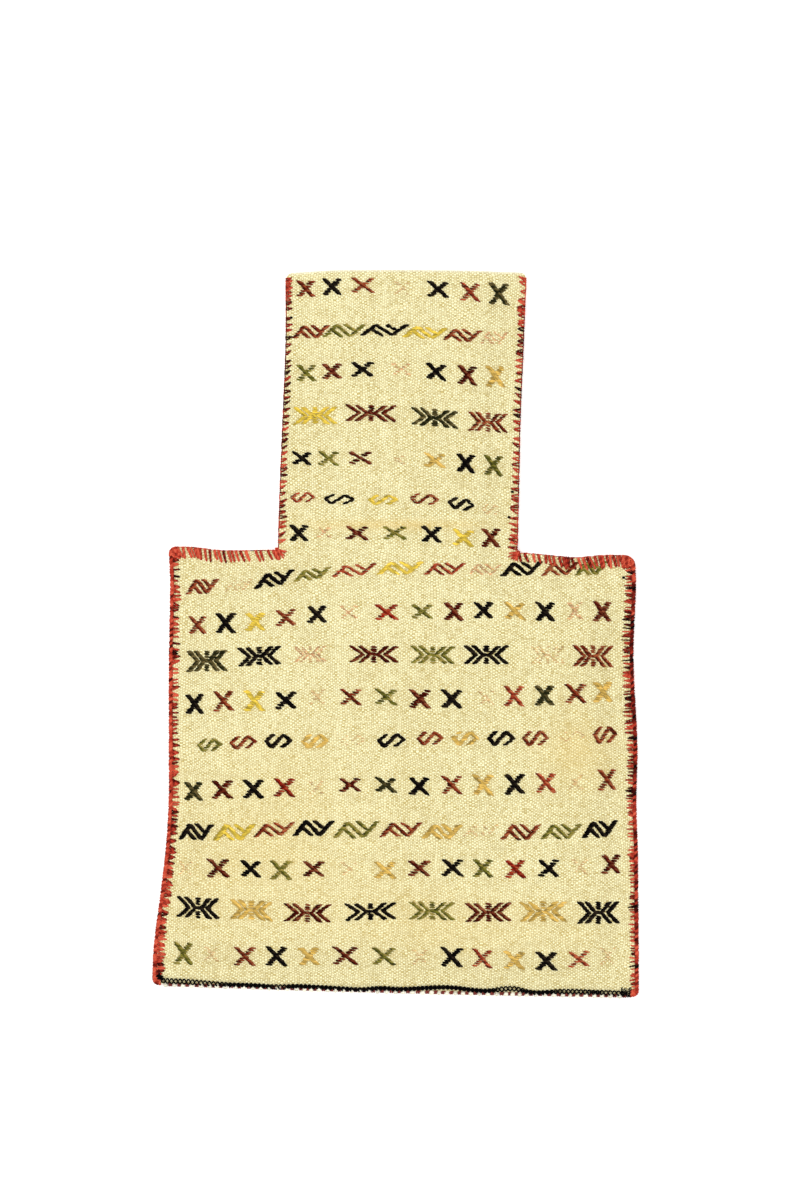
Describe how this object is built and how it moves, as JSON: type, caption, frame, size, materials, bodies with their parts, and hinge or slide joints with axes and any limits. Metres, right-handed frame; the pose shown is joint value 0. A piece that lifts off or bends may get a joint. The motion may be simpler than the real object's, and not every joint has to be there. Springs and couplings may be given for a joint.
{
  "type": "salt bag",
  "caption": "Flat-woven wool salt bag: wide pouch under a narrow neck open at the top, cream ground with rows of small brocaded figures, red overcast edges and a twined black foot.",
  "frame": {"origin": "centre of the outline, on the surface that the bag's back lies on", "axes": "+X to the right of the face, +Y towards the mouth, +Z out of the face"},
  "size_m": [0.3609, 0.5386, 0.0142],
  "materials": {
    "ground_wool": "matt cream wool in a fine plain weave",
    "binding_wool": "matt red wool yarn, overcast, with some black",
    "edging_wool": "matt wool yarn, whipped in brick red and white",
    "braid_wool": "matt black wool yarn, twined",
    "figure_wool": "matt dyed wool yarn of the brocaded figures"
  },
  "bodies": {
    "root": {"front_panel": "ground_wool", "back_panel": "ground_wool", "neck_binding_left": "binding_wool", "neck_binding_right": "binding_wool", "shoulder_binding_left": "binding_wool", "shoulder_binding_right": "binding_wool", "side_binding_left": "binding_wool", "side_binding_right": "binding_wool", "bottom_edging": "edging_wool", "bottom_braid": "braid_wool"}
  },
  "joints": []
}
